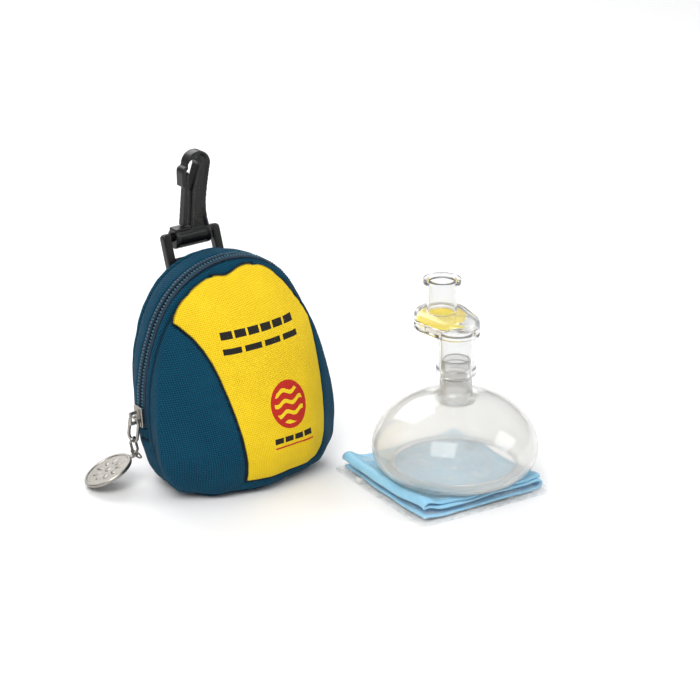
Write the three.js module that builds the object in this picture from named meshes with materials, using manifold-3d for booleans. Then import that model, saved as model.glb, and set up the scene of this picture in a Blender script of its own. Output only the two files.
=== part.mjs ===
// A child-size pocket resuscitation mask kit: a zipped carry pouch with a snap hook, a clear mask with its
// one-way valve, and a wrapped pair of folded gloves for the mask to stand on.
// Millimetres, +Z up. The origin is the middle of the pouch's base, and the pouch's front faces -Y.
import * as THREE from "three";
import { mergeVertices } from "three/addons/utils/BufferGeometryUtils.js";
import Module from "manifold-3d";

const wasm = await Module();
wasm.setup();

// ---------------------------------------------------------------- driving dimensions
const sew = 0.3; // gap between neighbouring pieces of cloth, and wherever two pieces rest on each other
const freePlay = 0.35; // clearance of a pivot around its bar
const far = 400; // longer than anything in the kit

// Arches of the pouch, seen from the front. Each is a foot corner, a side and a crown that meet smoothly.
const backArch = { halfWidth: 45, waist: 56, crownRadius: 42, sideRadius: 110, cornerRadius: 16 };
const zipArch = { halfWidth: 53, waist: 49.5, crownRadius: 48, sideRadius: 101, cornerRadius: 21 };
const frontArch = {
  halfWidth: 54.5, waist: 31, crownRadius: 48, sideRadius: 140, cornerRadius: 14,
  leftCorner: 30, // the packed pouch sags towards its other foot corner
};

const pouch = {
  backFace: 15, // flat of the back panel
  backSeam: 12, // where the back panel meets the side band
  wall: 2.2, // padded cloth
  zipMiddle: -7, // plane of the zip
  zipOpening: 8, // width of the slot that the zip is sewn into
  seamFoot: -33, // the front seam's plane at the floor
  seamLean: 0.17, // how far that plane leans back for each unit of height
  bulge: 16, // how far the padded front stands out of that plane
  footBulge: 12, // and how much more it does near the floor
  footBulgeX: 6,
  footSetBack: 6, // the foot's corners sit this far back
  footRise: 4, // the front seam's height above the floor
  bulgeMiddle: 48,
  bulgePower: 2.5,
  fold: 30, // height of the crease that the opened front hangs from
  zipEnd: 37.5,
};
const zip = { thickness: 1.8, middleGap: 1.6, inset: 0.2 };
const slider = { rest: 44, length: 11, width: 7.4, plate: 1.2, gap: 3.3, postWidth: 0.9, postLength: 2.2 };
const crown = { length: 7.5, height: 5.1, width: 1.3, holeLength: 3.8, holeHeight: 3.9 };
const bigLink = { length: 16.4, width: 7.6, wire: 1.4, thickness: 1.3, twist: 0.2 };
const longLink = { length: 18, width: 4.8, wire: 1.1, thickness: 1.1, twist: 0.2 };
const jumpRing = { radius: 3.2, wireRadius: 0.5 };
const ringFall = new THREE.Vector3(0.06, 0.28, -0.95).normalize(); // the pull leans back along the pouch
const linkFall = new THREE.Vector3(0.42, 0.5, -0.76).normalize();
const medal = {
  radius: 13.7, thickness: 2, rim: 1.4, recess: 0.45,
  tabReach: 2.2, tabRadius: 2.2, tabThickness: 1, hole: 1.2,
};
const medalUphill = new THREE.Vector3(0.86, -0.27, 0.43).normalize(); // from the medal's middle to its tab
const medalRise = -0.06; // its width leans this much for each unit of length

const loop = {
  width: 35, height: 19.4, bar: 4.7, barRadius: 2,
  corner: 2.6, y: 18.9, low: 109.5, lean: 0.33,
};
const tab = { width: 25, strap: 1.3, length: 16 };
const hook = {
  thickness: 6.6, barrelRadius: 5.4, barrelWidth: 21.4,
  barrelDrop: 1.2, eyeHeight: 37.3, eyeRadius: 3.2,
};
const hookArch = { x: 4.5, radius: 7.25 };
const gate = { thickness: 2.5, depth: 4.6, foot: 5.2, top: 34 };

const packet = {
  x: 80.6, y: -87.5, turn: -0.085, width: 80, length: 86,
  height: 8, film: 0.35, margin: 5, crimp: 0.9, radius: 4,
};
const gloves = { layers: 3 };

const mask = { x: 85.4, y: -92.8, radius: 43.6, equator: 12, domeHeight: 30.5, wall: 1.6, opening: 31.4 };
const port = { radius: 7.55, bore: 6.05, stem: 6.95, top: 61.5, flangeRadius: 10.2, flange: 1.4 };
const neck = { radius: 8.5, top: 51.5, flare: 13.5 };
const valve = {
  skirtRadius: 9.9, skirtFoot: 53.5, footBand: 3.4, footBandGrowth: 0.6,
  floor: 75, split: 79.4, roof: 83.8,
};
const head = { outlet: 12, inlet: 14.6, offset: 13.8, wall: 1.5, shoulder: 2.6 };
const mouthpiece = { radius: 8, bore: 6.9, top: 100.8, rimRadius: 9.9, rimHeight: 2 };
const flap = { radius: 12.6, thickness: 0.9, bead: 1.6, beadWidth: 1.3, bossRadius: 6.2 };

// ---------------------------------------------------------------- colours
const paint = (color, roughness, metalness = 0, extra = {}) =>
  new THREE.MeshStandardMaterial({ color, roughness, metalness, ...extra });
const yellowCloth = paint(0xf4d51e, 0.85);
const blueCloth = paint(0x07466b, 0.85);
const zipCoil = paint(0x0a2f52, 0.6);
const nickel = paint(0xb9b4ac, 0.35, 1);
const blackNylon = paint(0x17181a, 0.45);
const blackWebbing = paint(0x15171a, 0.9);
const clearPlastic = paint(0xf4f5f3, 0.12, 0, { transparent: true, opacity: 0.35 });
const frostedRubber = paint(0xeeebe4, 0.4, 0, { transparent: true, opacity: 0.5 });
const yellowSilicone = paint(0xf6d413, 0.4);
const blueNitrile = paint(0x8cc8ea, 0.6);
const film = paint(0xf2f6f8, 0.1, 0, { transparent: true, opacity: 0.3 });

// ---------------------------------------------------------------- solids
// A closed geometry as a manifold-3d solid, turned to face outwards.
function solidOf(geometry) {
  const bare = geometry.clone();
  for (const name of ["normal", "uv"]) bare.deleteAttribute(name);
  const merged = mergeVertices(bare, 1e-4);
  const vertProperties = merged.attributes.position.array;
  const triVerts = new Uint32Array(merged.index.array);
  const build = () => new wasm.Manifold(new wasm.Mesh({ numProp: 3, vertProperties, triVerts }));
  const made = build();
  if (made.volume() >= 0) return made;
  for (let i = 0; i < triVerts.length; i += 3) {
    [triVerts[i + 1], triVerts[i + 2]] = [triVerts[i + 2], triVerts[i + 1]];
  }
  return build();
}

function geometryOf(solid) {
  const { numProp, numVert, vertProperties, triVerts } = solid.getMesh();
  const position = new Float32Array(numVert * 3);
  for (let i = 0; i < numVert; i++) position.set(vertProperties.subarray(i * numProp, i * numProp + 3),
    i * 3);
  const geometry = new THREE.BufferGeometry();
  geometry.setAttribute("position", new THREE.BufferAttribute(position, 3));
  geometry.setIndex(new THREE.BufferAttribute(triVerts, 1));
  return geometry;
}

function mesh(name, solid, material) {
  const made = new THREE.Mesh(geometryOf(solid), material);
  made.name = name;
  return made;
}

// A box from its lowest and highest corners.
function block(low, high) {
  const size = high.map((value, axis) => value - low[axis]);
  const geometry = new THREE.BoxGeometry(...size);
  geometry.translate(...low.map((value, axis) => value + size[axis] / 2));
  return solidOf(geometry);
}

const above = (z) => block([-far, -far, z], [far, far, far]);
const below = (z) => block([-far, -far, -far], [far, far, z]);
const between = (yLow, yHigh) => block([-far, yLow, -far], [far, yHigh, far]);

// A shape drawn in X and Z, from y = front to y = back.
function frontProfile(shape, front, back, curveSegments = 8) {
  const geometry = new THREE.ExtrudeGeometry(shape, { depth: back - front, bevelEnabled: false,
    curveSegments });
  geometry.rotateX(Math.PI / 2);
  geometry.translate(0, back, 0);
  return solidOf(geometry);
}

// A shape drawn in Y and Z, centred on x = 0.
function sideProfile(shape, width, curveSegments = 8) {
  const geometry = new THREE.ExtrudeGeometry(shape, { depth: width, bevelEnabled: false, curveSegments });
  geometry.translate(0, 0, -width / 2);
  geometry.applyMatrix4(
    new THREE.Matrix4().makeBasis(
      new THREE.Vector3(0, 1, 0),
      new THREE.Vector3(0, 0, 1),
      new THREE.Vector3(1, 0, 0),
    ),
  );
  return solidOf(geometry);
}

// A shape drawn in X and Y, from z = low to z = high.
function slab(shape, low, high, curveSegments = 12) {
  const geometry = new THREE.ExtrudeGeometry(shape, { depth: high - low, bevelEnabled: false,
    curveSegments });
  geometry.translate(0, 0, low);
  return solidOf(geometry);
}

// A profile of [radius, height] pairs turned about the Z axis. It closes on itself.
function turned(profile, segments = 36) {
  const points = [...profile, profile[0]].map(([radius, height]) => new THREE.Vector2(radius, height));
  const geometry = new THREE.LatheGeometry(points, segments);
  geometry.rotateX(Math.PI / 2);
  return solidOf(geometry);
}

const disc = (radius, low, high, segments = 36) =>
  turned([[0, low], [radius, low], [radius, high], [0, high]], segments);

const tube = (outer, inner, low, high, segments = 36) =>
  turned([[inner, low], [outer, low], [outer, high], [inner, high]], segments);

// Closed rings of points, joined one to the next and capped at both ends.
function loft(rings) {
  const count = rings[0].length;
  const position = [];
  const index = [];
  for (const ring of rings) for (const point of ring) position.push(...point);
  rings.slice(1).forEach((_, row) => {
    for (let i = 0; i < count; i++) {
      const [a, b] = [row * count + i, row * count + ((i + 1) % count)];
      index.push(a, b, a + count, b, b + count, a + count);
    }
  });
  for (const [row, flip] of [[0, true], [rings.length - 1, false]]) {
    const middle = new THREE.Vector3();
    for (const point of rings[row]) middle.add(new THREE.Vector3(...point).divideScalar(count));
    const centre = position.length / 3;
    position.push(...middle.toArray());
    for (let i = 0; i < count; i++) {
      const [a, b] = [row * count + i, row * count + ((i + 1) % count)];
      index.push(centre, flip ? b : a, flip ? a : b);
    }
  }
  const geometry = new THREE.BufferGeometry();
  geometry.setAttribute("position", new THREE.Float32BufferAttribute(position, 3));
  geometry.setIndex(index);
  return solidOf(geometry);
}

// ---------------------------------------------------------------- the pouch's outlines
const sideCentre = (arch) => arch.halfWidth - arch.sideRadius;
const crownCentre = (arch) =>
  arch.waist + Math.sqrt((arch.sideRadius - arch.crownRadius) ** 2 - sideCentre(arch) ** 2);
const archHeight = (arch) => crownCentre(arch) + arch.crownRadius;

// The arch as [x, z] points, anticlockwise from the middle of its foot. inset shrinks it evenly.
function archPoints(arch, inset = 0) {
  const side = sideCentre(arch);
  const crownZ = crownCentre(arch);
  const halfArch = (corner) => {
    const cornerX = side + Math.sqrt((arch.sideRadius - corner) ** 2 - (corner - arch.waist) ** 2);
    const lowAngle = Math.atan2(corner - arch.waist, cornerX - side);
    const highAngle = Math.atan2(crownZ - arch.waist, -side);
    const half = [[0, inset]];
    const arc = (x, z, radius, from, to, steps) => {
      for (let i = 0; i <= steps; i++) {
        const angle = from + ((to - from) * i) / steps;
        half.push([x + (radius - inset) * Math.cos(angle), z + (radius - inset) * Math.sin(angle)]);
      }
    };
    arc(cornerX, corner, corner, -Math.PI / 2, lowAngle, 5);
    arc(side, arch.waist, arch.sideRadius, lowAngle + 0.03, highAngle - 0.03, 7);
    arc(0, crownZ, arch.crownRadius, highAngle, Math.PI / 2, 7);
    return half;
  };
  const left = halfArch(arch.leftCorner ?? arch.cornerRadius).slice(1, -1);
  return [...halfArch(arch.cornerRadius), ...left.reverse().map(([x, z]) => [-x, z])];
}

const seamPlane = (z) => pouch.seamFoot + pouch.seamLean * z;

// The front seam follows its plane above the fold. Below that it curves forward in the middle, and its corners
// sit back and off the floor.
function seamY(x, z) {
  const across = ((x - pouch.footBulgeX) / frontArch.halfWidth) ** 2;
  const forward = pouch.footBulge * Math.max(0, 1 - 1.6 * across) * Math.max(0, 1 - z / (2 * pouch.fold));
  return seamPlane(z) - forward + pouch.footSetBack * across * Math.max(0, 1 - z / pouch.fold);
}
const risen = (z) => z + pouch.footRise * Math.max(0, 1 - z / pouch.fold);

// A ring between two arches, share of the way from the first to the second.
function blendedArch(from, to, share, inset) {
  const target = archPoints(to, inset);
  return archPoints(from, inset).map(([x, z], i) => [
    x + (target[i][0] - x) * share,
    z + (target[i][1] - z) * share,
  ]);
}

const shrunk = (points, scale, middle) => points.map(([x, z]) => [x * scale,
  middle + (z - middle) * scale]);

// The pouch's body, from its back panel to its padded front, with its surface moved in by inset.
function pouchBody(inset) {
  const backPoints = archPoints(backArch, inset);
  const zipPoints = archPoints(zipArch, inset);
  const frontPoints = archPoints(frontArch, inset);
  const zipFront = pouch.zipMiddle - pouch.zipOpening / 2;
  const zipBack = pouch.zipMiddle + pouch.zipOpening / 2;
  const flatRing = (points, y) => points.map(([x, z]) => [x, y, z]);
  const frontRing = (scale) =>
    shrunk(frontPoints, scale, pouch.bulgeMiddle).map(([x, z]) => [
      x,
      seamY(x, z) - pouch.bulge * (1 - scale ** pouch.bulgePower) + inset,
      risen(z),
    ]);
  // Most of the way from the zip to the front seam, and still flat on the floor.
  const footRing = frontPoints.map(([x, z], i) => {
    const [zipX, zipZ] = zipPoints[i];
    return [zipX + (x - zipX) * 0.85, zipFront + (seamY(x, z) - zipFront) * 0.8, zipZ + (z - zipZ) * 0.85];
  });
  return loft([
    flatRing(shrunk(backPoints, 0.9, backArch.waist), pouch.backFace - inset),
    flatRing(shrunk(backPoints, 0.965, backArch.waist), pouch.backFace - 0.7 - inset),
    flatRing(backPoints, pouch.backSeam - inset),
    flatRing(blendedArch(backArch, zipArch, 0.55, inset), (pouch.backSeam + zipBack) / 2),
    flatRing(zipPoints, zipBack),
    flatRing(zipPoints, zipFront),
    footRing,
    frontPoints.map(([x, z]) => [x, seamY(x, z), risen(z)]),
    ...[0.94, 0.85, 0.72, 0.55, 0.35, 0.15].map(frontRing),
  ]);
}

// Everything in front of the leaning seam, moved forward by gap.
function frontOfSeam(gap) {
  const shape = new THREE.Shape([
    new THREE.Vector2(-far, -far),
    new THREE.Vector2(seamPlane(-far) - gap, -far),
    new THREE.Vector2(seamPlane(far) - gap, far),
    new THREE.Vector2(-far, far),
  ]);
  return sideProfile(shape, far);
}

// The yellow panel's outline from the front. Its sides sweep down from the crown to the foot.
function centrePanelShape(grow) {
  const shape = new THREE.Shape();
  shape.moveTo(-13.5 - grow, 8.5 - grow);
  shape.bezierCurveTo(-18.5 - grow, 55, -24 - grow, 84 - grow, -40 - grow, 95 - grow);
  shape.lineTo(-60 - grow, 110 - grow);
  shape.lineTo(-60, 150);
  shape.lineTo(60, 150);
  shape.lineTo(60 + grow, 110 - grow);
  shape.lineTo(43 + grow, 93 - grow);
  shape.bezierCurveTo(47.5 + grow, 62, 47 + grow, 14 - grow, 26 + grow, 8.5 - grow);
  return shape;
}

// ---------------------------------------------------------------- pouch
const outerBody = pouchBody(0);
const innerBody = pouchBody(pouch.wall);
const cloth = outerBody.subtract(innerBody);
const centrePrism = (grow) => frontProfile(centrePanelShape(grow), -far, far, 10);
const zipBackEdge = pouch.zipMiddle + pouch.zipOpening / 2;
const zipFrontEdge = pouch.zipMiddle - pouch.zipOpening / 2;
const panelEdge = pouch.backSeam - 2; // the back panel turns the corner this far
const baseTop = pouch.wall + sew;

function pouchBack() {
  const group = new THREE.Group();
  const backPanel = cloth.intersect(between(panelEdge + sew / 2, far)).intersect(above(baseTop));
  const band = cloth
    .intersect(between(zipBackEdge + sew / 2, panelEdge - sew / 2))
    .intersect(above(baseTop));
  const zipFoot = cloth
    .intersect(between(zipFrontEdge + sew / 2, zipBackEdge + sew))
    .intersect(above(pouch.fold + sew / 2))
    .intersect(below(pouch.zipEnd - sew));
  const base = cloth.intersect(below(pouch.wall));
  const foot = cloth
    .intersect(between(-far, zipBackEdge - sew / 2))
    .intersect(above(baseTop))
    .intersect(below(pouch.fold - sew / 2));
  const inFront = between(-far, pouch.zipMiddle - pouch.zipOpening);
  const centreFoot = foot.intersect(inFront).intersect(centrePrism(-sew / 2));
  const footBand = foot.subtract(centrePrism(sew / 2).intersect(inFront));
  group.add(
    mesh("back_panel", backPanel, blueCloth),
    mesh("back_side_band", band.add(zipFoot), blueCloth),
    mesh("base_panel", base, blueCloth),
    mesh("foot_band", footBand, blueCloth),
    mesh("centre_panel_foot", centreFoot, yellowCloth),
  );
  return group;
}

function pouchFront() {
  const group = new THREE.Group();
  const upper = above(pouch.fold + sew / 2);
  const skin = cloth.intersect(upper);
  const sideBand = skin
    .intersect(between(-far, zipFrontEdge - sew / 2))
    .subtract(frontOfSeam(-sew / 2));
  const panels = skin.intersect(frontOfSeam(sew / 2));
  const rest = panels.subtract(centrePrism(sew / 2));
  const leftSide = block([-far, -far, -far], [0, far, far]);
  group.add(
    mesh("front_side_band", sideBand, blueCloth),
    mesh("centre_panel", panels.intersect(centrePrism(-sew / 2)), yellowCloth),
    mesh("left_panel", rest.intersect(leftSide), blueCloth),
    mesh("right_panel", rest.subtract(leftSide), blueCloth),
  );
  return group;
}

// Half of the zip's chain and tape: a thin arch between two planes of constant y.
function zipHalf(name, yLow, yHigh) {
  const archPrism = (inset) => {
    const points = archPoints(zipArch, inset).map(([x, z]) => new THREE.Vector2(x, z));
    return frontProfile(new THREE.Shape(points), yLow, yHigh);
  };
  const arch = archPrism(zip.inset)
    .subtract(archPrism(zip.inset + zip.thickness))
    .intersect(above(pouch.zipEnd));
  return mesh(name, arch, zipCoil);
}

// ---------------------------------------------------------------- slider and pull
const zipCentreRadius = zipArch.sideRadius - zip.inset - zip.thickness / 2;
const sliderAngle = Math.asin((slider.rest - zipArch.waist) / zipCentreRadius);
const sliderPlace = [-sideCentre(zipArch) - zipCentreRadius * Math.cos(sliderAngle), pouch.zipMiddle,
  slider.rest];
const crownReach = slider.gap / 2 + slider.plate + crown.holeHeight / 2;

// The slider lies on the pouch's left side. In its own frame +Z runs up the zip and -X points out of the pouch.
function zipSlider() {
  const group = new THREE.Group();
  group.position.set(...sliderPlace);
  group.rotation.y = sliderAngle;
  const { length, width, plate, gap, postWidth, postLength } = slider;
  const outerFace = -gap / 2 - plate;
  const shell = (x) => block([x, -width / 2, -length / 2], [x + plate, width / 2, length / 2]);
  const post = block([outerFace, -postWidth / 2, -length / 2], [-outerFace, postWidth / 2,
    postLength - length / 2]);
  const bridge = block(
    [outerFace - crown.height, -crown.width / 2, -crown.length / 2],
    [outerFace + plate / 2, crown.width / 2, crown.length / 2],
  );
  const hole = block(
    [outerFace - crown.holeHeight, -crown.width, -crown.holeLength / 2],
    [outerFace, crown.width, crown.holeLength / 2],
  );
  const body = shell(outerFace).add(shell(gap / 2)).add(post).add(bridge).subtract(hole);
  group.add(mesh("zip_slider", body, nickel));
  return group;
}

// A flat link: a long ring with round ends in the X and Z plane, its top wire centred on the origin.
function linkSolid({ length, width, wire, thickness }) {
  const outline = (path, half) => {
    const reach = length / 2 - half;
    const start = wire - (width / 2 - half);
    path.absarc(0, -(width - wire) / 2, half, 0, Math.PI, false);
    path.absarc(0, -(length - wire - (width - wire) / 2), half, Math.PI, 2 * Math.PI, false);
    return reach + start;
  };
  const shape = new THREE.Shape();
  outline(shape, width / 2);
  const hole = new THREE.Path();
  outline(hole, width / 2 - wire);
  shape.holes.push(hole);
  return frontProfile(shape, -thickness / 2, thickness / 2, 8);
}

// How a piece lies whose length runs along fall: its own +Z points back up, and its width starts along Y.
function hanging(fall, twist) {
  const up = fall.clone().negate();
  const along = new THREE.Vector3(0, 1, 0).projectOnPlane(up).normalize().applyAxisAngle(up, twist);
  const across = new THREE.Vector3().crossVectors(along, up);
  return new THREE.Quaternion().setFromRotationMatrix(new THREE.Matrix4().makeBasis(across, along, up));
}

// The pull: a big link in the slider's crown, a long link, a jump ring and a medal that leans on the floor.
function zipPull() {
  const crownHole = new THREE.Vector3(-crownReach, 0, 0)
    .applyAxisAngle(new THREE.Vector3(0, 1, 0), sliderAngle)
    .add(new THREE.Vector3(...sliderPlace));
  const big = mesh("pull_ring", linkSolid(bigLink).rotate([0, 0, 90]), nickel);
  big.position.copy(crownHole);
  big.quaternion.copy(hanging(ringFall, bigLink.twist));

  const long = mesh("pull_link", linkSolid(longLink), nickel);
  const nest = (bigLink.wire + longLink.wire) / 2 + 0.5; // the wires curve towards each other
  long.position.copy(ringFall).multiplyScalar(bigLink.length - bigLink.wire)
    .addScaledVector(linkFall, -nest).add(crownHole);
  long.quaternion.copy(hanging(linkFall, longLink.twist));

  const ring = new THREE.TorusGeometry(jumpRing.radius, jumpRing.wireRadius, 8, 20);
  ring.rotateY(Math.PI / 2);
  const jump = mesh("jump_ring", solidOf(ring), nickel);
  const ringNest = longLink.wire / 2 + jumpRing.wireRadius + 0.6;
  jump.position.copy(linkFall).multiplyScalar(longLink.length - longLink.wire - ringNest + jumpRing.radius)
    .add(long.position);
  jump.quaternion.copy(hanging(linkFall, longLink.twist));

  const hang = new THREE.Vector3(0, 0.5, -0.866).multiplyScalar(jumpRing.radius)
    .applyQuaternion(jump.quaternion).add(jump.position);
  return [big, long, jump, medalDisc(hang)];
}

// The medal: a disc with a raised rim and a drilled tab. hang is the middle of the tab's hole.
function medalDisc(hang) {
  const { radius, thickness, rim, recess, tabReach, tabRadius, tabThickness, hole } = medal;
  const group = new THREE.Group();
  const side = new THREE.Vector3(0, 0, 1).cross(medalUphill).setZ(medalRise).projectOnPlane(medalUphill).normalize();
  const face = new THREE.Vector3().crossVectors(medalUphill, side);
  group.quaternion.setFromRotationMatrix(new THREE.Matrix4().makeBasis(medalUphill, side, face));
  group.position.copy(medalUphill).multiplyScalar(-(radius + tabReach)).add(hang);
  const half = thickness / 2;
  const coin = turned([
    [0, -half], [radius - 0.4, -half], [radius, 0.4 - half], [radius, half - 0.4], [radius - 0.4, half],
    [radius - rim, half], [radius - rim - 0.3, half - recess], [0, half - recess],
  ]);
  const lug = disc(tabRadius, -tabThickness / 2, tabThickness / 2, 20).translate([radius + tabReach, 0, 0]);
  const neckPiece = block([radius - 1, -tabRadius * 0.7, -tabThickness / 2], [radius + tabReach,
    tabRadius * 0.7, tabThickness / 2]);
  const drill = disc(hole, -thickness, thickness, 16).translate([radius + tabReach, 0, 0]);
  group.add(mesh("medal", coin.add(lug).add(neckPiece).subtract(drill), nickel));
  return group;
}

// ---------------------------------------------------------------- hook and its loop
const loopFrame = new THREE.Group();
loopFrame.position.set(0, loop.y, loop.low);
loopFrame.rotation.x = -loop.lean;
const barSpan = loop.height - loop.bar; // from the middle of one bar to the middle of the other
const topBar = new THREE.Vector3(0, Math.sin(loop.lean), Math.cos(loop.lean)).multiplyScalar(barSpan)
  .add(loopFrame.position);

function webbingTab() {
  const bore = loop.barRadius + freePlay;
  const outer = bore + tab.strap;
  const wallFace = pouch.backFace + sew;
  const strapFace = wallFace + 2 * tab.strap;
  const shape = new THREE.Shape();
  shape.moveTo(wallFace, loop.low - tab.length);
  shape.lineTo(strapFace, loop.low - tab.length);
  shape.lineTo(strapFace + 0.4, loop.low - outer - 0.6);
  shape.absarc(loop.y, loop.low, outer, -Math.PI * 0.4, Math.PI * 0.9, false);
  shape.lineTo(wallFace, loop.low - 1);
  const hole = new THREE.Path();
  hole.absarc(loop.y, loop.low, bore, 0, 2 * Math.PI, true);
  shape.holes.push(hole);
  return mesh("webbing_tab", sideProfile(shape, tab.width, 10), blackWebbing);
}

const barAlongX = (radius, length) => disc(radius, -length / 2, length / 2, 20).rotate([0, 90, 0]);

// A rectangular ring with rounded top corners. The webbing holds its round foot bar, and the hook its round top bar.
function hookLoop() {
  const half = loop.width / 2;
  const thick = loop.bar / 2;
  const { corner } = loop;
  const shape = new THREE.Shape();
  shape.moveTo(-half, -thick);
  shape.lineTo(half, -thick);
  shape.absarc(half - corner, barSpan + thick - corner, corner, 0, Math.PI / 2, false);
  shape.absarc(corner - half, barSpan + thick - corner, corner, Math.PI / 2, Math.PI, false);
  const hole = new THREE.Path();
  const room = half - loop.bar;
  hole.moveTo(-room, -2 * thick);
  hole.lineTo(-room, barSpan + 2 * thick);
  hole.lineTo(room, barSpan + 2 * thick);
  hole.lineTo(room, -2 * thick);
  const legs = frontProfile(shape, -thick, thick, 5).subtract(frontProfile(new THREE.Shape(hole.getPoints()), -thick - 1, thick + 1));
  const bar = barAlongX(loop.barRadius, 2 * half - loop.bar);
  const made = mesh("hook_loop", legs.add(bar).add(bar.translate([0, 0, barSpan])), blackNylon);
  made.position.copy(loopFrame.position);
  made.rotation.copy(loopFrame.rotation);
  return made;
}

// The snap hook, drawn in X and Z from the bar that it turns on. Its eye opens on the left, under the nose.
function snapHook() {
  const { thickness, barrelRadius, barrelWidth, barrelDrop, eyeHeight, eyeRadius } = hook;
  const shape = new THREE.Shape();
  shape.moveTo(10.2, -1);
  shape.lineTo(10, 4.6);
  shape.quadraticCurveTo(8.6, 8.6, 8.4, 16);
  shape.quadraticCurveTo(9.4, 26, hookArch.x + hookArch.radius, eyeHeight);
  shape.absarc(hookArch.x, eyeHeight, hookArch.radius, 0, Math.PI, false);
  shape.quadraticCurveTo(-5.4, eyeHeight - 0.4, -5.6, 34);
  shape.lineTo(-5.4, 26.4);
  shape.lineTo(-3.8, 26.4);
  shape.lineTo(-3.4, 34.4);
  shape.lineTo(-2, eyeHeight - 1.2);
  shape.absarc(1.2, eyeHeight, eyeRadius, Math.PI, 0, true);
  shape.quadraticCurveTo(1.6, 30, 0.2, 24);
  shape.lineTo(-1.3, gate.foot - 0.5);
  shape.lineTo(-10.7, gate.foot - 0.5);
  shape.lineTo(-10.7, 2.9);
  shape.lineTo(-4, 2.4);
  shape.lineTo(-4, -1);
  const plate = frontProfile(shape, -thickness / 2, thickness / 2, 8);
  const barrel = barAlongX(barrelRadius, barrelWidth).translate([0, 0, -barrelDrop]);
  const bore = barAlongX(loop.barRadius + freePlay, far);
  const made = mesh("snap_hook", plate.add(barrel).subtract(bore), blackNylon);
  made.position.copy(topBar);
  return made;
}

function hookGate() {
  const { thickness, depth, foot, top } = gate;
  const shape = new THREE.Shape();
  shape.moveTo(-5.4, foot);
  shape.lineTo(-5.4 + thickness, foot);
  shape.lineTo(-0.7, top - 1.2);
  shape.lineTo(-1.2, top);
  shape.lineTo(-2.6, top);
  shape.lineTo(-3.3, top - 7);
  const made = mesh("hook_gate", frontProfile(shape, -depth / 2, depth / 2), blackNylon);
  made.position.copy(topBar);
  return made;
}

// ---------------------------------------------------------------- packet of gloves
function roundedRectangle(width, length, radius) {
  const [x, y] = [width / 2, length / 2];
  const shape = new THREE.Shape();
  shape.absarc(x - radius, y - radius, radius, 0, Math.PI / 2, false);
  shape.absarc(radius - x, y - radius, radius, Math.PI / 2, Math.PI, false);
  shape.absarc(radius - x, radius - y, radius, Math.PI, 1.5 * Math.PI, false);
  shape.absarc(x - radius, radius - y, radius, 1.5 * Math.PI, 2 * Math.PI, false);
  return shape;
}

function glovePacket() {
  const group = new THREE.Group();
  group.position.set(packet.x, packet.y, 0);
  group.rotation.z = packet.turn;
  const { width, length, height, film: skin, margin, crimp, radius } = packet;
  const filmGap = sew;
  const sheet = slab(roundedRectangle(width, length, radius), 0, skin, 4);
  const brim = slab(roundedRectangle(width, length, radius), skin + filmGap, skin + filmGap + crimp, 4);
  const dome = slab(roundedRectangle(width - 2 * margin, length - 2 * margin, radius), skin + filmGap,
    height, 4);
  const room = slab(
    roundedRectangle(width - 2 * margin - 2 * skin, length - 2 * margin - 2 * skin, radius - skin),
    0, height - skin, 4,
  );
  group.add(mesh("wrapper_back", sheet, film), mesh("wrapper_front", brim.add(dome).subtract(room), film));

  const clear = skin + sew;
  const floor = skin + sew;
  const pitch = (height - skin - sew - floor) / gloves.layers;
  for (let i = 0; i < gloves.layers; i++) {
    const back = i % 2 ? 1.5 : 0; // the folds don't line up exactly
    const layer = slab(
      roundedRectangle(width - 2 * (margin + clear + back), length - 2 * (margin + clear) - back,
        radius - 1),
      floor + i * pitch, floor + (i + 1) * pitch - sew, 4,
    );
    group.add(mesh("glove_fold_" + (i + 1), layer, blueNitrile));
  }
  return group;
}

// ---------------------------------------------------------------- mask and valve
const neckBore = port.stem + sew;

function maskShell() {
  const { radius, equator, domeHeight, wall, opening } = mask;
  const dome = (grow, steps) => {
    const [across, tall] = [radius - grow, domeHeight - grow];
    const stop = Math.acos((neck.flare - grow) / across);
    return Array.from({ length: steps + 1 }, (_, i) => {
      const angle = (stop * i) / steps;
      return [across * Math.cos(angle), equator + tall * Math.sin(angle)];
    });
  };
  const lipTop = 4.4;
  const profile = [
    [opening, 3], [opening + 0.8, 1.1], [opening + 3.4, 0], [radius - 5.6, 0.9], [radius - 2.6, 4],
      [radius - 0.6, 8.4],
    ...dome(0, 9),
    [neck.radius + 0.9, neck.top - 7.5], [neck.radius, neck.top - 5.5], [neck.radius, neck.top],
    [neckBore, neck.top], [neckBore, neck.top - 9.6],
    ...dome(wall, 9).reverse().slice(1),
    [radius - wall - 0.5, 8.9], [radius - wall - 2.4, 5], [radius - wall - 4.9, 2.6], [opening + 3.3, wall],
    [opening + 1.8, 2.8], [opening + 1.7, lipTop - 0.4], [opening + 0.9, lipTop],
  ];
  return mesh("mask_shell", turned(profile, 40), frostedRubber);
}

// The hard connector that passes through the mask's neck.
function maskPort() {
  const innerRadius = mask.radius - mask.wall;
  const innerRise = (mask.domeHeight - mask.wall) * Math.sin(Math.acos(port.flangeRadius / innerRadius));
  const seat = Math.min(neck.top - 10.4, mask.equator + innerRise) - port.flange - sew;
  const profile = [
    [port.bore, seat - 0.8], [port.flangeRadius - 1, seat - 0.8], [port.flangeRadius, seat],
    [port.stem, seat + port.flange], [port.stem, neck.top + sew], [port.radius, neck.top + sew],
    [port.radius, port.top - 0.6], [port.radius - 0.5, port.top], [port.bore, port.top],
  ];
  return mesh("mask_port", turned(profile), clearPlastic);
}

// The valve head from above: a circle about the outlet, one about the mouthpiece, and their common tangents.
function headShape(inset) {
  const [small, large] = [head.outlet - inset, head.inlet - inset];
  const lean = Math.asin((large - small) / head.offset);
  const shape = new THREE.Shape();
  shape.absarc(0, head.offset, large, -lean, Math.PI + lean, false);
  shape.absarc(0, 0, small, Math.PI + lean, 2 * Math.PI - lean, false);
  return shape;
}

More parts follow.
